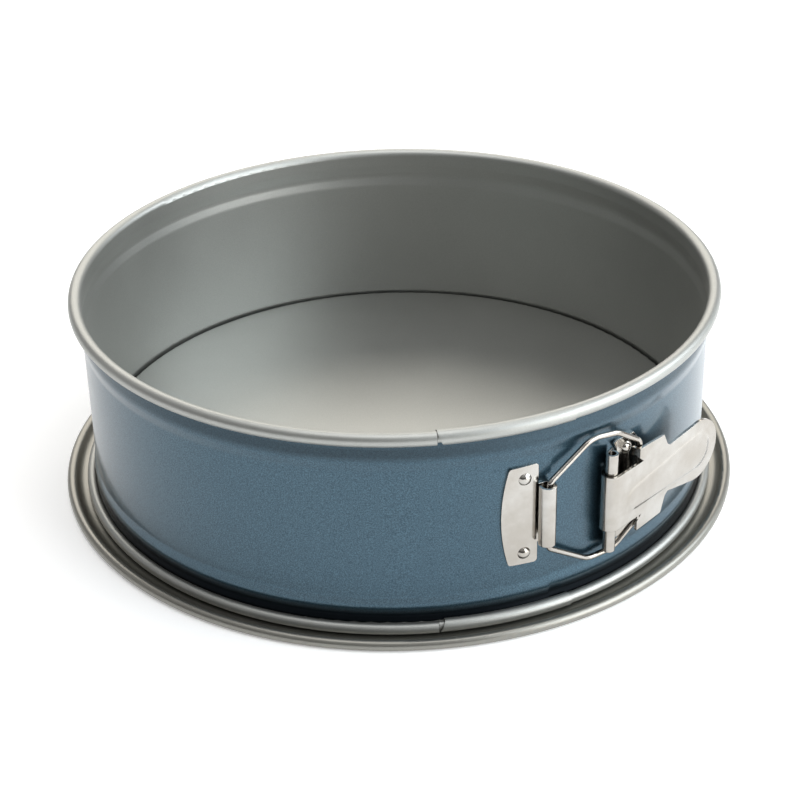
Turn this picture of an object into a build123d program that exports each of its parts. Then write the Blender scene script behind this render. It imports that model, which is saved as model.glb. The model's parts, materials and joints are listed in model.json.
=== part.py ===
"""Springform cake pan: raised base plate, rolled band with overlapping ends, and a wire-bail latch.

Frame: millimetres, +Z up, origin at the centre of the base's underside.
The front of the pan faces -Y and the latch sits at the front right.
"""

import os
from math import acos, atan2, cos, degrees, hypot, radians, sin, tan

from build123d import *

os.makedirs("parts", exist_ok=True)

# ---------------------------------------------------------------- driving dimensions
inside_diameter = 228.6          # 9 inch cake
band_sheet = 0.6
rim_curl_radius = 2.35           # outer radius of the top roll
rim_curl_z = 76.35               # centre height of the top roll
foot_curl_radius = 1.95
foot_curl_z = 3.1
foot_flare = 0.85                # the wall steps out by this much above the bottom roll
foot_flare_top = 7.2
foot_flare_end = 4.8
curl_turn = 305                  # degrees of roll
bead_bulge = 0.9
upper_bead_z = 67.65
upper_bead_half_height = 4.4
lower_bead_z = 10.9
lower_bead_half_height = 3.4
upper_bead_round = 6.0           # radii of the bends in the wall's section
lower_bead_round = 4.0
foot_flare_round = 2.5

overlap_start = -84.0            # azimuth where the inner band end stops
overlap_stop = -64.5             # azimuth where the outer band end stops
flare_stop = -61.0               # azimuth where the widened rolls shrink back
layer_gap = 0.15                 # between the two overlapping ends
rim_widening = 0.2               # the inner end's rolls are wider by this much
foot_widening = 0.35
clip_length = 2.4                # of the slanting cut at the rolls' ends
clip_margin = 0.4                # the cut runs past the roll by this much
slit = 0.1                       # degrees of bare wall where the rolls change size

base_sheet = 0.7
floor_z = 13.0                   # top of the raised floor
floor_clearance = 0.35           # radial gap between the floor's skirt and the band
drip_rim_radius = 125.2          # centre of the base's outer roll
drip_curl_radius = 1.9
drip_slope = 52                  # degrees, of the ramp from the drip channel up to the roll
floor_corner = 0.5
skirt_corner = 1.0
ramp_corner = 4.0

bracket_sheet = 0.8
lever_sheet = 1.0
wire_radius = 1.0

barrel_azimuth = -65.8
barrel_radius = 3.0
barrel_half_height = 11.3
barrel_turn = 290                # degrees of roll
bail_side_z = 41.3               # mid height of the bail's bracket
bail_z = 40.4                    # mid height of the wire and of the lever's hooks

tube_azimuth = -53.65
tube_distance = 119.3
tube_radius = 2.15
tube_half_height = 19.1
tube_turn = 305                  # degrees of roll
tube_z = 37.7                    # mid height of the tube
lever_z = 38.4                   # mid height of the lever and of its bracket's plate
lever_lean = 10.5                # the closed lever leans in towards the band, degrees
lever_play = 0.3                 # radial play of the knuckle on the tube
knuckle_half_height = 10.6
window_play = 0.35               # gap between the knuckle's ends and the bracket's arms
window_depth = 9.0               # of the cut, radially
window_shift = 1.0
window_margin = 4.0

rivet_radius = 1.3
rivet_head_radius = 2.3
rivet_head_height = 1.3
rivet_tail_radius = 1.9
rivet_tail_height = 0.4
rivet_sink = 0.02                # the shank starts this far inside the wall's face
rivet_dome_point = 25            # degrees from the dome's top, of a point that its arc passes

plate_half_height = 19.2         # of the bail's bracket
plate_gap = 2.4                  # from the barrel's axis back to the plate's straight edge
plate_drop = 0.4                 # the plate's upper and lower edges slope by this much
plate_round = 1.2
plate_corner = 12.7
plate_reach = 15.4
bail_plate_inner = 115.67

lever_plate_half_height = 19.6   # of the lever's bracket
lever_fold = 5.4                 # from the tube's axis to the fold
lever_plate_corner = 13.6
lever_plate_reach = 20.5
lever_plate_inner = 114.92
web_half_height = 15.5
shoulder_back = 2.2              # the plate's ends reach back past the fold by this much
shoulder_drop = 0.6

lever_length = 56.8              # from the tube's axis to the grip's tip
grip_radius = 11.6
ear_start = 11.1
ear_stop = 24.7
ear_half_height = 16.2
notch_width = 2.2                # of the relief notch beside each ear
notch_depth = 2.0
ear_slope = 0.6                  # the ear narrows by this much towards the grip
ear_heel = 2.2                   # length of the ear's slanting edge down to the neck
neck_run = 3.7                   # the neck's narrowest place, past the ear
neck_rise = 1.1
grip_blend = 2.6                 # the neck meets the round grip this far before its centre
outline_margin = 5.0             # the lever's outline starts this far behind the tube's axis
knuckle_turn = 265               # degrees of roll
upper_neck = 10.1
lower_neck = 8.5
hook_low = 11.0
hook_high = 13.8
hook_depth = 0.1                 # how far the hooks reach past the tube's axis, towards the band
hook_leg_depth = 1.1             # place of the wire's end in the closed lever
hook_leg_along = 13.65

wire_offset = 0.7                # the wire lies towards the far side of its barrel
bail_half_height = 23.7
bail_neck = 12.8
bail_shoulder = 17.0
bail_far_shoulder = 28.0
bail_far_top = 22.2
bail_far_foot = 23.5             # clears the tube's lower end
bail_leg = 15.6

rivet_names = ("bail_rivet_upper", "bail_rivet_lower", "lever_rivet_upper", "lever_rivet_lower")
rivet_places = ((-69.35, 55.4), (-69.35, 26.6), (-48.6, 53.4), (-48.6, 24.2))

through_band = 8.0               # depth of cuts that pass through the band's wall
hole_lead = 3.0                  # such a hole's cut starts this far inside the wall
outline_lead = 8.0               # outlines are cut from this far behind a hinge's axis
outline_depth = 14.0

# ---------------------------------------------------------------- derived sizes
inner_radius = inside_diameter / 2
outer_radius = inner_radius + band_sheet
wall_middle = inner_radius + band_sheet / 2
band_shift = (band_sheet + layer_gap) / 2      # half of the radial growth over one turn
plate_mid = bail_plate_inner + bracket_sheet / 2
barrel_mid = barrel_radius - bracket_sheet / 2
barrel_distance = plate_mid + barrel_mid       # barrel centre from the pan's axis
rivet_seats = [bail_plate_inner + bracket_sheet] * 2 + [lever_plate_inner + bracket_sheet] * 2


def sqrt_leg(hypotenuse, leg):
    """The other leg of a right triangle."""
    return (hypotenuse**2 - leg**2) ** 0.5


def polar(azimuth, distance, height=0.0):
    """A point given by azimuth in degrees, distance from the pan's axis and height."""
    return Vector(distance * cos(radians(azimuth)), distance * sin(radians(azimuth)), height)


def section_plane(azimuth, shift=0.0):
    """Upright plane through the pan's axis: local X points outwards, local Y is up."""
    outwards = polar(azimuth, 1)
    return Plane(origin=outwards * shift, x_dir=outwards, z_dir=outwards.cross(Vector(0, 0, 1)))


def outward_plane(azimuth, height, distance=0.0):
    """Plane facing outwards: local X runs along the band to the right, local Y is up."""
    outwards = polar(azimuth, 1)
    tangent = Vector(0, 0, 1).cross(outwards)
    return Plane(origin=polar(azimuth, distance, height), x_dir=tangent, z_dir=outwards)


def plan_plane(azimuth, height, distance=0.0):
    """Level plane: local X points outwards, local Y runs along the band to the right."""
    return Plane(origin=polar(azimuth, distance, height), x_dir=polar(azimuth, 1), z_dir=(0, 0, 1))


# ---------------------------------------------------------------- base plate
def base_section():
    """Half section of the one-piece base: raised floor, skirt, drip channel and outer roll."""
    floor_mid = floor_z - base_sheet / 2
    channel_mid = base_sheet / 2
    skirt_mid = inner_radius - floor_clearance - base_sheet / 2
    roll_mid = drip_curl_radius - base_sheet / 2
    slope = radians(drip_slope)
    crest = (drip_rim_radius - roll_mid * sin(slope), drip_curl_radius + roll_mid * cos(slope))
    ramp_foot = crest[0] - (crest[1] - channel_mid) / tan(slope)
    with BuildSketch(Plane.XZ) as section:
        with BuildLine():
            FilletPolyline(
                (0, floor_mid),
                (skirt_mid, floor_mid),
                (skirt_mid, channel_mid),
                (ramp_foot, channel_mid),
                crest,
                radius=[floor_corner, skirt_corner, ramp_corner],
            )
            CenterArc((drip_rim_radius, drip_curl_radius), roll_mid, 90 + drip_slope, -180 - drip_slope)
        trace(line_width=base_sheet)
    return section.sketch


with BuildPart() as base_plate:
    add(base_section())
    revolve(axis=Axis.Z)
base_plate.part.label = "base_plate"
export_step(base_plate.part, "parts/base_plate.step")


# ---------------------------------------------------------------- spring band
def band_section(plane, rim_roll=None, foot_roll=None, foot_shift=0.0):
    """Section of the band's strip: a wall with two outward beads, and a roll at each edge.

    Without the rolls' radii it is the wall alone.
    """
    foot = foot_curl_z + foot_shift
    bead_crest = wall_middle + bead_bulge
    foot_middle = wall_middle + foot_flare
    with BuildSketch(plane) as section:
        with BuildLine():
            FilletPolyline(
                (wall_middle, rim_curl_z),
                (wall_middle, upper_bead_z + upper_bead_half_height),
                (bead_crest, upper_bead_z),
                (wall_middle, upper_bead_z - upper_bead_half_height),
                (wall_middle, lower_bead_z + lower_bead_half_height),
                (bead_crest, lower_bead_z),
                (wall_middle, foot_flare_top),
                (foot_middle, foot_flare_end),
                (foot_middle, foot),
                radius=[upper_bead_round] * 3 + [lower_bead_round] * 2 + [foot_flare_round] * 2,
            )
            if rim_roll:
                rim_mid = rim_roll - band_sheet / 2
                CenterArc((wall_middle + rim_mid, rim_curl_z), rim_mid, 180, -curl_turn)
                foot_mid = foot_roll - band_sheet / 2
                CenterArc((foot_middle + foot_mid, foot), foot_mid, 180, curl_turn)
        trace(line_width=band_sheet)
    return section.sketch


opposite = overlap_start + 180
shifted_centre = polar(overlap_start, band_shift)
plain_rolls = (rim_curl_radius, foot_curl_radius)
wide_rolls = (rim_curl_radius + rim_widening, foot_curl_radius + foot_widening, foot_widening)
nested_rolls = (wide_rolls[0] - 2 * band_shift, wide_rolls[1] - 2 * band_shift, foot_widening)

with BuildPart() as spring_band:
    # Inner end of the strip, with rolls wide enough to take the other end's rolls.
    add(band_section(section_plane(overlap_start), *wide_rolls))
    revolve(axis=Axis.Z, revolution_arc=flare_stop - slit - overlap_start)
    # The rolls' corners are clipped at a slant.
    rim_clip = wide_rolls[0] + clip_margin
    foot_clip = wide_rolls[1] + clip_margin
    foot_middle_z = foot_curl_z + foot_widening
    with BuildSketch(outward_plane(overlap_start, 0, outer_radius + layer_gap)):
        with BuildLine():
            Polyline(
                (0, rim_curl_z + rim_clip),
                (0, rim_curl_z - rim_clip),
                (clip_length, rim_curl_z - rim_clip),
                close=True,
            )
        make_face()
    extrude(amount=through_band, mode=Mode.SUBTRACT)
    with BuildSketch(outward_plane(overlap_start, 0, outer_radius + foot_flare + layer_gap)):
        with BuildLine():
            Polyline(
                (0, foot_middle_z - foot_clip),
                (0, foot_middle_z + foot_clip),
                (clip_length, foot_middle_z + foot_clip),
                close=True,
            )
        make_face()
    extrude(amount=through_band, mode=Mode.SUBTRACT)
    add(band_section(section_plane(flare_stop - slit)))
    revolve(axis=Axis.Z, revolution_arc=slit)
    # First half turn about the pan's axis.
    add(band_section(section_plane(flare_stop), *plain_rolls))
    revolve(axis=Axis.Z, revolution_arc=opposite - flare_stop)
    # Second half turn about a shifted axis, so that the strip ends clear of its other end.
    add(band_section(section_plane(opposite), *plain_rolls))
    revolve(axis=Axis(shifted_centre, (0, 0, 1)), revolution_arc=180)
    # Outer end of the strip, lying over the inner end, with small rolls nested in the wide ones.
    add(band_section(section_plane(overlap_start, 2 * band_shift)))
    revolve(axis=Axis.Z, revolution_arc=slit)
    add(band_section(section_plane(overlap_start + slit, 2 * band_shift), *nested_rolls))
    revolve(axis=Axis.Z, revolution_arc=overlap_stop - overlap_start - slit)
    # Rivet holes through both layers on the left and through one on the right.
    for azimuth, height in rivet_places:
        with BuildSketch(outward_plane(azimuth, height, inner_radius - hole_lead)):
            Circle(rivet_radius)
        extrude(amount=through_band, mode=Mode.SUBTRACT)
spring_band.part.label = "spring_band"
export_step(spring_band.part, "parts/spring_band.step")


# ---------------------------------------------------------------- the bail's bracket
def on_arc(distance, along):
    """Azimuth offset in degrees of a length measured along an arc of the given radius."""
    return degrees(along / distance)


with BuildPart() as bail_bracket:
    # The plate lies on the band, and its strip runs on under the barrel.
    with BuildSketch(plan_plane(barrel_azimuth, bail_side_z - plate_half_height, barrel_distance)):
        with BuildLine():
            far = on_arc(plate_mid, -plate_reach)
            CenterArc((-barrel_distance, 0), plate_mid, far, -far)
        trace(line_width=bracket_sheet)
    extrude(amount=2 * plate_half_height)
    # Its outline seen from the front of the latch.
    with BuildSketch(outward_plane(barrel_azimuth, bail_side_z, barrel_distance - outline_lead)) as outline:
        with BuildLine():
            Line((-plate_gap, -plate_half_height), (-plate_gap, plate_half_height))
            Line((-plate_gap, plate_half_height), (-plate_corner, plate_half_height - plate_drop))
            ThreePointArc(
                (-plate_corner, plate_half_height - plate_drop),
                (-plate_reach, 0),
                (-plate_corner, plate_drop - plate_half_height),
            )
            Line((-plate_corner, plate_drop - plate_half_height), (-plate_gap, -plate_half_height))
        make_face()
        fillet(outline.vertices(), plate_round)
        Rectangle(2 * barrel_radius + 1, 2 * barrel_half_height)
    extrude(amount=outline_depth, mode=Mode.INTERSECT)
    for azimuth, height in rivet_places[:2]:
        with BuildSketch(outward_plane(azimuth, height, inner_radius - hole_lead)):
            Circle(rivet_radius)
        extrude(amount=through_band, mode=Mode.SUBTRACT)
    # The strip's end rolls over into the barrel.
    with BuildSketch(plan_plane(barrel_azimuth, bail_side_z - barrel_half_height, barrel_distance)):
        with BuildLine():
            CenterArc((0, 0), barrel_mid, 180, -barrel_turn)
        trace(line_width=bracket_sheet)
    extrude(amount=2 * barrel_half_height)
bail_bracket.part.label = "bail_bracket"
export_step(bail_bracket.part, "parts/bail_bracket.step")


# ---------------------------------------------------------------- the lever's bracket
tube_mid = tube_radius - bracket_sheet / 2
bracket_reach = lever_plate_half_height + 2.0    # half height of the blank that the outline is cut from
wall_plate_mid = lever_plate_inner + bracket_sheet / 2
with BuildPart() as lever_bracket:
    with BuildSketch(plan_plane(tube_azimuth, tube_z - bracket_reach, tube_distance)):
        with BuildLine():
            fold = Vector(wall_plate_mid - tube_distance, lever_fold)
            reach = hypot(fold.X, fold.Y)
            # The slanting web touches the tube on the side that faces the band.
            tangent_angle = atan2(fold.Y, fold.X) + acos(tube_mid / reach)
            touch = Vector(tube_mid * cos(tangent_angle), tube_mid * sin(tangent_angle))
            near = degrees(atan2(lever_fold, wall_plate_mid))
            far = on_arc(wall_plate_mid, lever_plate_reach)
            plate = CenterArc((-tube_distance, 0), wall_plate_mid, near, far - near)
            Line(plate @ 0, touch)
            CenterArc((0, 0), tube_mid, degrees(tangent_angle), tube_turn)
        trace(line_width=bracket_sheet)
    extrude(amount=2 * bracket_reach)
    with BuildSketch(outward_plane(tube_azimuth, lever_z, tube_distance - outline_lead)):
        # Tube and web.
        with Locations((0, tube_z - lever_z)):
            Rectangle(2 * tube_radius + 1, 2 * tube_half_height)
        with Locations((lever_fold / 2 + 0.3, 0)):
            Rectangle(lever_fold + 1, 2 * web_half_height)
        # Plate with a bulging free edge and corners drawn back to the web.
        with BuildLine():
            Polyline(
                (lever_plate_corner, lever_plate_half_height),
                (lever_fold - shoulder_back, lever_plate_half_height),
                (lever_fold + shoulder_drop, web_half_height - shoulder_drop),
                (lever_fold + shoulder_drop, shoulder_drop - web_half_height),
                (lever_fold - shoulder_back, -lever_plate_half_height),
                (lever_plate_corner, -lever_plate_half_height),
            )
            ThreePointArc(
                (lever_plate_corner, -lever_plate_half_height),
                (lever_plate_reach, 0),
                (lever_plate_corner, lever_plate_half_height),
            )
        make_face()
    extrude(amount=outline_depth, mode=Mode.INTERSECT)
    # Window for the lever's knuckle, cut from the web but not from the tube.
    window_half_height = knuckle_half_height + window_play
    with BuildSketch(plan_plane(tube_azimuth, lever_z - window_half_height, tube_distance)):
        with Locations((-window_shift, lever_fold / 2 - window_margin / 2)):
            Rectangle(window_depth, lever_fold + window_margin)
        Circle(tube_radius, mode=Mode.SUBTRACT)
    extrude(amount=2 * window_half_height, mode=Mode.SUBTRACT)
    for azimuth, height in rivet_places[2:]:
        with BuildSketch(outward_plane(azimuth, height, inner_radius - hole_lead)):
            Circle(rivet_radius)
        extrude(amount=through_band, mode=Mode.SUBTRACT)
lever_bracket.part.label = "lever_bracket"
export_step(lever_bracket.part, "parts/lever_bracket.step")


# ---------------------------------------------------------------- rivets
for name, (azimuth, height), seat in zip(rivet_names, rivet_places, rivet_seats):
    with BuildPart() as rivet:
        with BuildSketch(outward_plane(azimuth, height, inner_radius - rivet_sink)):
            Circle(rivet_radius)
        extrude(amount=seat - inner_radius + rivet_sink)
        with BuildSketch(outward_plane(azimuth, height, inner_radius - rivet_sink)):
            Circle(rivet_tail_radius)
        extrude(amount=-rivet_tail_height)
        # Domed head: a slice of a sphere that stands on the bracket.
        dome_radius = (rivet_head_radius**2 + rivet_head_height**2) / (2 * rivet_head_height)
        head_plane = plan_plane(azimuth, height, seat)
        with BuildSketch(head_plane):
            with BuildLine():
                Line((0, 0), (0, rivet_head_radius))
                ThreePointArc(
                    (0, rivet_head_radius),
                    (
                        rivet_head_height - dome_radius + dome_radius * cos(radians(rivet_dome_point)),
                        dome_radius * sin(radians(rivet_dome_point)),
                    ),
                    (rivet_head_height, 0),
                )
                Line((rivet_head_height, 0), (0, 0))
            make_face()
        revolve(axis=Axis(head_plane.origin, head_plane.x_dir))
    rivet.part.label = name
    export_step(rivet.part, f"parts/{name}.step")


# ---------------------------------------------------------------- lever
closed_lever = plan_plane(tube_azimuth, lever_z - ear_half_height, tube_distance)
closed_lever = closed_lever.rotated((0, 0, lever_lean))
knuckle_inner = tube_radius + lever_play
knuckle_mid = knuckle_inner + lever_sheet / 2
grip_centre = lever_length - grip_radius
with BuildPart() as lever:
    # The strip seen from above: flat plate that rolls round the tube.
    with BuildSketch(closed_lever):
        with BuildLine():
            Line((knuckle_mid, lever_length), (knuckle_mid, 0))
            CenterArc((0, 0), knuckle_mid, 0, -knuckle_turn)
        trace(line_width=lever_sheet)
    extrude(amount=2 * ear_half_height)
    # Its outline: neck, two ears with relief notches, and a round thumb grip.
    outline_origin = closed_lever.origin - closed_lever.x_dir * outline_lead + Vector(0, 0, ear_half_height)
    with BuildSketch(Plane(outline_origin, x_dir=closed_lever.y_dir, z_dir=closed_lever.x_dir)):
        with BuildLine():
            for side, neck in ((1, upper_neck), (-1, lower_neck)):
                Polyline(
                    (-outline_margin, 0),
                    (-outline_margin, side * knuckle_half_height),
                    (ear_start + notch_width, side * knuckle_half_height),
                    (ear_start, side * (knuckle_half_height + notch_depth)),
                    (ear_start, side * ear_half_height),
                    (ear_stop, side * (ear_half_height - ear_slope)),
                    (ear_stop + ear_heel, side * (neck + neck_rise)),
                    (ear_stop + neck_run, side * neck),
                    (grip_centre - grip_blend, side * sqrt_leg(grip_radius, grip_blend)),
                    (grip_centre, 0),
                )
        make_face()
        with Locations((grip_centre, 0)):
            Circle(grip_radius)
    extrude(amount=outline_depth, mode=Mode.INTERSECT)
    # Hooks bent back from the ears' edges: they hold the wire's end behind the plate.
    for side in (1, -1):
        hook_foot = bail_z - lever_z + side * (hook_low + hook_high) / 2 - (hook_high - hook_low) / 2
        with BuildSketch(closed_lever.offset(ear_half_height + hook_foot)):
            with Locations(((knuckle_inner + lever_sheet - hook_depth) / 2, ear_start + lever_sheet / 2)):
                Rectangle(knuckle_inner + lever_sheet + hook_depth, lever_sheet)
        extrude(amount=hook_high - hook_low)
lever.part.label = "lever"
export_step(lever.part, "parts/lever.step")


# ---------------------------------------------------------------- bail wire
barrel_plane = plan_plane(barrel_azimuth, bail_z, barrel_distance)
lever_plane = plan_plane(tube_azimuth, bail_z, tube_distance).rotated((0, 0, lever_lean))
wire_end = lever_plane.from_local_coords(Vector(hook_leg_depth, hook_leg_along, 0))
towards = (wire_end - barrel_plane.origin).normalized()
wire_hinge = barrel_plane.origin + towards * wire_offset
span = (wire_end - wire_hinge).length
bail_plane = Plane(origin=wire_hinge, x_dir=towards, z_dir=towards.cross(Vector(0, 0, 1)))
with BuildPart() as bail_wire:
    with BuildLine(bail_plane):
        FilletPolyline(
            (0, 0.5),
            (0, bail_neck),
            (bail_shoulder, bail_half_height),
            (bail_far_shoulder, bail_far_top),
            (span, bail_leg),
            (span, -bail_leg),
            (bail_far_shoulder, -bail_far_foot),
            (bail_shoulder, -bail_half_height),
            (0, -bail_neck),
            (0, -0.5),
            radius=[2.2, 9, 8, 3, 3, 8, 9, 2.2],
        )
    with BuildSketch(Plane(origin=bail_plane.from_local_coords(Vector(0, 0.5, 0)), z_dir=(0, 0, 1))):
        Circle(wire_radius)
    sweep()
bail_wire.part.label = "bail_wire"
export_step(bail_wire.part, "parts/bail_wire.step")
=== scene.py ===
"""Springform cake pan: looks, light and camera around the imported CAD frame.

Metres, in the CAD's own frame: +Z up, the front of the pan faces -Y, the latch is at the front right.
"""
import json
import math

import bpy
from mathutils import Matrix, Vector


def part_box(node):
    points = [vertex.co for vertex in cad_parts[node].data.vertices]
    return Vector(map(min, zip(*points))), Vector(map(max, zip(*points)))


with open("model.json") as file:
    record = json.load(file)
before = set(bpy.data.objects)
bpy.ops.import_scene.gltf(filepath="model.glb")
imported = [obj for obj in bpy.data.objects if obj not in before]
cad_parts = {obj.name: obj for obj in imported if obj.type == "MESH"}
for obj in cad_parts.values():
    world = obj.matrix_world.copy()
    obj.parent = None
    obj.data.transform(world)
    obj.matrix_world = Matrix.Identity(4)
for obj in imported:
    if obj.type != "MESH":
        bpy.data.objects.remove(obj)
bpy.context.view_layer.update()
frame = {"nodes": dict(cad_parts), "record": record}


# ---------------------------------------------------------------- node helpers
class Nodes:
    """A node tree, and short calls that add nodes to it and return their output sockets."""

    def __init__(self, tree):
        self.tree = tree

    def node(self, kind, sockets=(), **settings):
        """A new node. sockets gives its inputs, by name or number; settings are its own properties."""
        made = self.tree.nodes.new("ShaderNode" + kind)
        for key, value in settings.items():
            setattr(made, key, value)
        for key, value in dict(sockets).items():
            self.put(made.inputs[key], value)
        return made

    def put(self, socket, value):
        """Link a socket to the input, or set the input to a constant."""
        if isinstance(value, bpy.types.NodeSocket):
            self.tree.links.new(value, socket)
        else:
            socket.default_value = value

    def math(self, operation, a, b=0.0):
        return self.node("Math", {0: a, 1: b}, operation=operation).outputs[0]

    def remap(self, value, low, high, to_low, to_high):
        """low to high becomes to_low to to_high, and stays between them."""
        return self.node("MapRange", {0: value, 1: low, 2: high, 3: to_low, 4: to_high}).outputs[0]

    def step(self, value, low, high):
        """0 below low, 1 above high, smooth between them."""
        made = self.node("MapRange", {0: value, 1: low, 2: high}, interpolation_type="SMOOTHSTEP")
        return made.outputs[0]

    def mix_value(self, factor, a, b):
        """The number a where factor is 0, b where it is 1."""
        return self.node("Mix", {0: factor, 2: a, 3: b}, data_type="FLOAT").outputs[0]

    def mix(self, factor, a, b):
        """The colour a where factor is 0, b where it is 1. The node's colour sockets are 6, 7 and 2."""
        made = self.node("Mix", data_type="RGBA")
        self.put(made.inputs[0], factor)
        self.put(made.inputs[6], a)
        self.put(made.inputs[7], b)
        return made.outputs[2]

    def vector(self, operation, a, b=(0, 0, 0)):
        return self.node("VectorMath", {0: a, 1: b}, operation=operation).outputs[0]

    def length(self, vector):
        return self.node("VectorMath", {0: vector}, operation="LENGTH").outputs["Value"]

    def dot(self, a, b):
        return self.node("VectorMath", {0: a, 1: b}, operation="DOT_PRODUCT").outputs["Value"]

    def split(self, vector):
        """The x, y and z of a vector."""
        return self.node("SeparateXYZ", {0: vector}).outputs

    def join(self, x, y):
        """The vector (x, y, 0)."""
        return self.node("CombineXYZ", {0: x, 1: y}).outputs[0]

    def place(self):
        """The point on the object, in the object's own coordinates."""
        return self.node("TexCoord").outputs["Object"]

    def normal(self):
        return self.node("NewGeometry").outputs["Normal"]

    def noise(self, scale, detail, rough=0.5):
        """Noise from 0 to 1, with about scale cells in a metre."""
        made = self.node("TexNoise", {"Vector": self.place(), "Scale": scale, "Detail": detail,
                                      "Roughness": rough})
        return made.outputs["Fac"]

    def bump(self, height, strength, distance, normal=None):
        """The normal, or else the surface's own, bumped by height. A height of 1 is distance metres."""
        made = self.node("Bump", {"Height": height, "Strength": strength, "Distance": distance})
        if normal is not None:
            self.put(made.inputs["Normal"], normal)
        return made.outputs[0]


class Shader(Nodes):
    """A new material with a Principled shader."""

    def __init__(self, name):
        self.material = bpy.data.materials.new(name)
        self.material.use_nodes = True
        super().__init__(self.material.node_tree)
        self.principled = next(n for n in self.tree.nodes if n.type == "BSDF_PRINCIPLED")

    def set(self, **values):
        """Put values on the Principled shader's inputs, named with _ for each space."""
        for key, value in values.items():
            self.put(self.principled.inputs[key.replace("_", " ")], value)


def srgb(red, green, blue):
    """Linear colour of an sRGB one given 0 to 255."""
    def linear(value):
        value /= 255
        return value / 12.92 if value <= 0.04045 else ((value + 0.055) / 1.055) ** 2.4
    return (linear(red), linear(green), linear(blue), 1.0)


# ---------------------------------------------------------------- colours
steel_dark = srgb(150, 151, 148)
steel_light = srgb(188, 189, 185)
steel_ring = srgb(138, 135, 127)       # on the base, outside the band

lacquer_deep = srgb(43, 64, 77)
lacquer_flake = srgb(77, 104, 118)
lacquer_blue = srgb(47, 77, 95)        # drifts over the other two in wide patches
# painted shade under the top roll
lacquer_painted_rim_shade = srgb(20, 34, 42)
# painted shade in the groove above the bottom roll
lacquer_painted_groove_shade = srgb(8, 14, 19)

nickel_stained = srgb(174, 168, 160)
nickel_clean = srgb(194, 191, 186)

paper_dark = (0.90, 0.90, 0.90, 1)
paper_light = (0.93, 0.93, 0.93, 1)


# ---------------------------------------------------------------- places on the pan
band_low, band_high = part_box("spring_band")

# Heights and radii that part the band's lacquer from the coating on its rolls.
foot_top = band_low.z + 0.0047         # just above the bottom roll
foot_crease = band_low.z + 0.0034      # in the crease between the wall and the bottom roll
foot_reach = band_high.y - 0.0026      # between the wall and the bottom roll's crest
rim_foot = band_high.z - 0.0052        # underside of the top roll
bead_reach = band_high.y - 0.0016      # between the beads' crests and the rolls' crests

# Painted shade: the lacquer is darkened downwards from the lower bead's crest into the groove above the
# bottom roll, and upwards across the upper bead's crest under the top roll.
groove_low = band_low.z + 0.0056
groove_high = band_low.z + 0.0098
rim_shade_low = band_high.z - 0.0126
rim_shade_high = band_high.z - 0.0100

# The base's coating darkens outwards between these radii, outside the band's wall.
ring_start = band_high.y - 0.0040
ring_full = band_high.y - 0.0020

# The lever turns on lever_pin, and when it is closed its sheet runs along lever_way.
lever_low, lever_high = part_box("lever")
knuckle_radius = 0.00345               # outer radius of the lever's knuckle
lever_pin = Vector((lever_low.x + knuckle_radius,
                    lever_low.y + knuckle_radius,
                    (lever_low.z + lever_high.z) / 2))
lever_way = Vector((lever_high.x - lever_pin.x, lever_high.y - lever_pin.y, 0)).normalized()

# The outline pressed into the lever: two round ends along lever_way, and the taper between them.
drop_start = 0.010                     # centre of the small end, from the pin
drop_end = 0.045                       # centre of the large end, in the grip
drop_start_radius = 0.0044
drop_end_radius = 0.0070
drop_sag = 0.0020                      # the small end lies this far below the lever's middle
drop_edge = 0.0009                     # half the width of the pressed step


# ---------------------------------------------------------------- materials
def coated_steel(s, smooth, coarse):
    """Colour, roughness between two bounds, and fine grain of the grey non-stick coating, as sockets."""
    grain = s.noise(scale=2600, detail=2, rough=0.6)
    cloud = s.noise(scale=22, detail=3)
    tone = s.mix_value(0.4, grain, cloud)
    return s.mix(tone, steel_dark, steel_light), s.remap(cloud, 0, 1, smooth, coarse), grain


def grain_bump(s, grain, normal=None):
    """The normal with the coating's fine grain bumped into it."""
    return s.bump(grain, strength=0.25, distance=0.00005, normal=normal)


def satin_steel(name):
    """Grey non-stick coating over steel: a fine metallic grain, and a darker tone on the outer ring."""
    s = Shader(name)
    steel, rough, grain = coated_steel(s, smooth=0.34, coarse=0.42)
    x, y, z = s.split(s.place())
    on_ring = s.step(s.length(s.join(x, y)), ring_start, ring_full)
    colour = s.mix(s.math("MULTIPLY", on_ring, 0.75), steel, steel_ring)
    s.set(Base_Color=colour, Metallic=0.92, Roughness=rough, Normal=grain_bump(s, grain))
    return s.material


def lathe_normal(s, x, y):
    """The surface normal without its part along the pan's circumference, except on the band's cut ends.

    A shape turned about Z has no such part, but the mesh's own normals have some on the top roll.
    """
    normal = s.normal()
    around = s.vector("NORMALIZE", s.join(s.math("MULTIPLY", y, -1.0), x))
    share = s.dot(normal, around)
    least_on_cut_end = 0.6
    off_cut_end = s.math("LESS_THAN", s.math("ABSOLUTE", share), least_on_cut_end)
    stray = s.math("MULTIPLY", share, off_cut_end)
    part = s.node("VectorMath", {0: around, "Scale": stray}, operation="SCALE").outputs[0]
    return s.vector("NORMALIZE", s.vector("SUBTRACT", normal, part))


def lacquered(s, x, y, z):
    """1 on the outside of the band between its rolls, 0 on the rolls and inside."""
    outward = s.join(x, y)
    radius = s.length(outward)
    behind_foot = s.math("MULTIPLY", s.math("LESS_THAN", radius, foot_reach),
                         s.math("GREATER_THAN", z, foot_crease))
    tests = (
        s.math("MAXIMUM", s.math("GREATER_THAN", z, foot_top), behind_foot),
        s.math("LESS_THAN", z, rim_foot),
        s.math("LESS_THAN", radius, bead_reach),
    )
    outside = s.math("GREATER_THAN", s.dot(s.normal(), outward), 0.0)
    for test in tests:
        outside = s.math("MULTIPLY", outside, test)
    return outside


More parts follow.
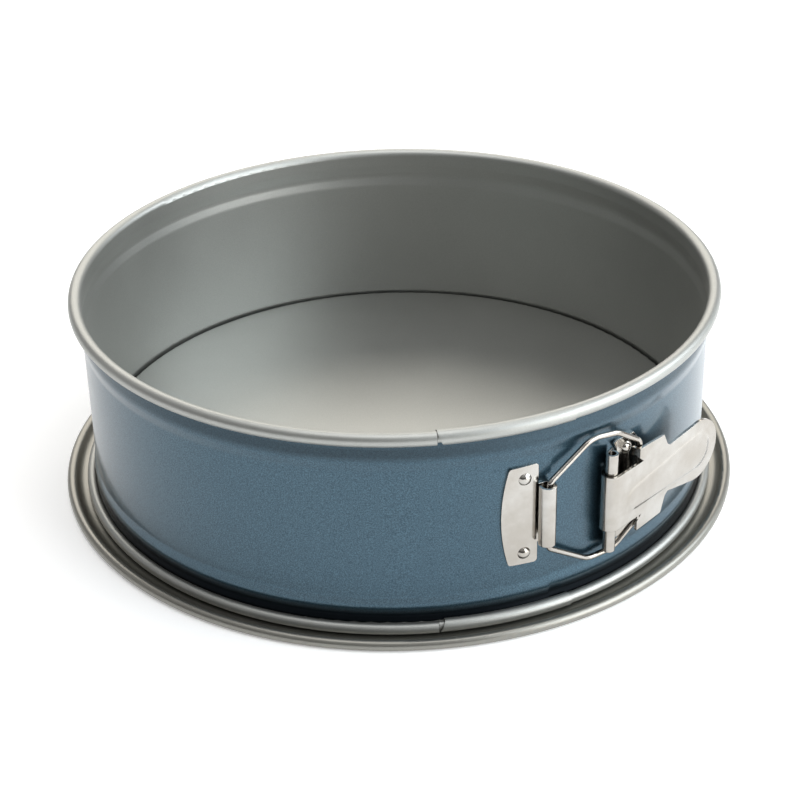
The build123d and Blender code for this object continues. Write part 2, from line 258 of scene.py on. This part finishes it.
def band_coat(name):
    """Outside of the band: metallic blue lacquer, with painted shade under the top roll and in the
    groove above the bottom roll. Its inside and its rolls: grey non-stick coating.
    """
    s = Shader(name)
    x, y, z = s.split(s.place())
    outside = lacquered(s, x, y, z)
    steel, rough, grain = coated_steel(s, smooth=0.42, coarse=0.50)

    flakes = s.step(s.noise(scale=2600, detail=2, rough=0.7), 0.30, 0.72)
    drift = s.math("MULTIPLY", s.noise(scale=14, detail=2), 0.35)
    # Painted shade: darker under the top roll, across the upper bead's crest.
    painted_rim_shade = s.math("MULTIPLY", s.step(z, rim_shade_low, rim_shade_high), 0.5)
    # Painted shade: darker in the groove above the bottom roll, which is also left without coat.
    clear_of_groove_shade = s.step(z, groove_low, groove_high)
    lacquer = s.mix(flakes, lacquer_deep, lacquer_flake)
    lacquer = s.mix(drift, lacquer, lacquer_blue)
    lacquer = s.mix(painted_rim_shade, lacquer, lacquer_painted_rim_shade)
    lacquer = s.mix(clear_of_groove_shade, lacquer_painted_groove_shade, lacquer)

    glossy = s.math("MULTIPLY", outside, clear_of_groove_shade)
    s.set(Base_Color=s.mix(outside, steel, lacquer), Metallic=0.9)
    s.set(Roughness=s.mix_value(outside, rough, 0.34))
    s.set(Coat_Weight=s.math("MULTIPLY", glossy, 0.55), Coat_Roughness=0.10)
    s.set(Normal=grain_bump(s, grain, lathe_normal(s, x, y)))
    return s.material


def teardrop(s):
    """Height of the lever's pressed outline: 1 inside a teardrop from the knuckle to the grip."""
    x, y, z = s.split(s.place())
    along = s.math("ADD",
                   s.math("MULTIPLY", s.math("SUBTRACT", x, lever_pin.x), lever_way.x),
                   s.math("MULTIPLY", s.math("SUBTRACT", y, lever_pin.y), lever_way.y))
    share = s.remap(along, drop_start, drop_end, 0, 1)
    middle = s.remap(share, 0, 1, lever_pin.z - drop_sag, lever_pin.z)
    reach = s.remap(share, 0, 1, drop_start_radius, drop_end_radius)
    nearest = s.remap(share, 0, 1, drop_start, drop_end)
    offset = s.join(s.math("SUBTRACT", along, nearest), s.math("SUBTRACT", z, middle))
    past_edge = s.math("SUBTRACT", s.length(offset), reach)
    return s.math("SUBTRACT", 1.0, s.step(past_edge, -drop_edge, drop_edge))


def nickel(name, pressed=False):
    """Bright nickel plating: faint stains, a rolled sheet's slight waviness, and softened edges."""
    s = Shader(name)
    stain = s.noise(scale=60, detail=4, rough=0.6)
    wave = s.noise(scale=110, detail=2)
    colour = s.mix(s.step(stain, 0.35, 0.72), nickel_stained, nickel_clean)
    s.set(Base_Color=colour, Metallic=1.0, Roughness=s.remap(stain, 0, 1, 0.12, 0.22))
    soft_edges = s.node("Bevel", {"Radius": 0.00025}, samples=4).outputs[0]
    normal = s.bump(wave, strength=0.25, distance=0.0005, normal=soft_edges)
    if pressed:
        normal = s.bump(teardrop(s), strength=0.55, distance=0.0008, normal=normal)
    s.set(Normal=normal)
    return s.material


finishes = {
    "nonstick_steel": satin_steel("nonstick_steel"),
    "blue_lacquer": band_coat("blue_lacquer"),
    "plated_latch": nickel("plated_latch"),
    "latch_wire": nickel("latch_wire"),
    "plated_rivet": nickel("plated_rivet"),
}
lever_finish = nickel("plated_lever", pressed=True)
for part in frame["record"]["subparts"]:
    node = frame["nodes"][part["node"]]
    for slot in node.material_slots:
        slot.link = "OBJECT"
        slot.material = lever_finish if part["node"] == "lever" else finishes[part["material_slot"]]


# ---------------------------------------------------------------- studio
def stage_floor(reach):
    """A pale flat floor that glows a little, from -reach to reach both ways."""
    mesh = bpy.data.meshes.new("floor")
    corners = [(-reach, -reach, 0), (reach, -reach, 0), (reach, reach, 0), (-reach, reach, 0)]
    mesh.from_pydata(corners, [], [(0, 1, 2, 3)])
    floor = bpy.data.objects.new("floor", mesh)
    bpy.context.scene.collection.objects.link(floor)
    s = Shader("floor_paper")
    s.set(Base_Color=s.mix(s.noise(scale=6, detail=2), paper_dark, paper_light))
    s.set(Roughness=0.9, Emission_Color=(1, 1, 1, 1), Emission_Strength=0.26)
    mesh.materials.append(s.material)


def softbox(name, at, towards, width, height, power, colour=(1, 1, 1)):
    """A rectangular area light; power in watts."""
    data = bpy.data.lights.new(name, "AREA")
    data.shape = "RECTANGLE"
    data.size = width
    data.size_y = height
    data.energy = power
    data.color = colour
    light = bpy.data.objects.new(name, data)
    light.location = at
    light.rotation_mode = "QUATERNION"
    light.rotation_quaternion = (Vector(towards) - Vector(at)).to_track_quat("-Z", "Y")
    bpy.context.scene.collection.objects.link(light)


def studio_room(strength, shaded):
    """White light of one strength from all round and above, and of another low at the front left."""
    world = bpy.data.worlds.new("studio")
    bpy.context.scene.world = world
    world.use_nodes = True
    room = Nodes(world.node_tree)
    x, y, z = room.split(room.node("TexCoord").outputs["Generated"])
    to_front_left = room.math("SUBTRACT", room.math("MULTIPLY", x, -0.45), room.math("MULTIPLY", y, 0.9))
    low_down = room.math("SUBTRACT", 1.0, room.step(z, 0.25, 0.65))
    dark = room.math("MULTIPLY", room.step(to_front_left, 0.1, 0.8), low_down)
    backdrop = next(n for n in world.node_tree.nodes if n.type == "BACKGROUND")
    backdrop.inputs["Color"].default_value = (1, 1, 1, 1)
    room.put(backdrop.inputs["Strength"], room.remap(dark, 0, 1, strength, shaded))


stage_floor(reach=30.0)
softbox("softbox_right", at=(1.15, -0.25, 0.75), towards=(0, 0, 0.03), width=1.7, height=0.9, power=20,
        colour=(0.88, 0.95, 1.0))
softbox("softbox_back", at=(-0.1, 1.25, 0.85), towards=(0, 0, 0.03), width=1.7, height=0.9, power=10,
        colour=(1.0, 0.95, 0.87))
softbox("softbox_low", at=(1.15, -0.75, 0.24), towards=(0, 0, 0.04), width=1.0, height=0.4, power=4.5,
        colour=(1.0, 0.97, 0.92))
softbox("softbox_top", at=(0.0, 0.0, 1.6), towards=(0, 0, 0), width=1.3, height=1.3, power=11)
studio_room(strength=0.42, shaded=0.08)
bpy.context.scene.view_settings.view_transform = "Standard"


# ---------------------------------------------------------------- camera
def place_camera(at, elevation, roll, focal_length):
    """A camera in front of the pan that looks along +Y and down; angles in degrees, lens in mm."""
    tilt = math.radians(elevation)
    lean = math.radians(roll)
    back = Vector((0, -math.cos(tilt), math.sin(tilt)))
    right = Vector((1, 0, 0))
    up = back.cross(right)
    camera_right = right * math.cos(lean) + up * math.sin(lean)
    camera_up = up * math.cos(lean) - right * math.sin(lean)
    turn = Matrix((camera_right, camera_up, back)).transposed()

    lens = bpy.data.cameras.new("camera")
    lens.lens = focal_length
    lens.sensor_width = 36
    lens.clip_start = 0.01
    lens.clip_end = 100
    camera = bpy.data.objects.new("camera", lens)
    bpy.context.scene.collection.objects.link(camera)
    camera.matrix_world = Matrix.Translation(Vector(at)) @ turn.to_4x4()
    bpy.context.scene.camera = camera


place_camera(at=(0.0010, -0.63138, 0.38515), elevation=29.79, roll=-1.2, focal_length=85.63)
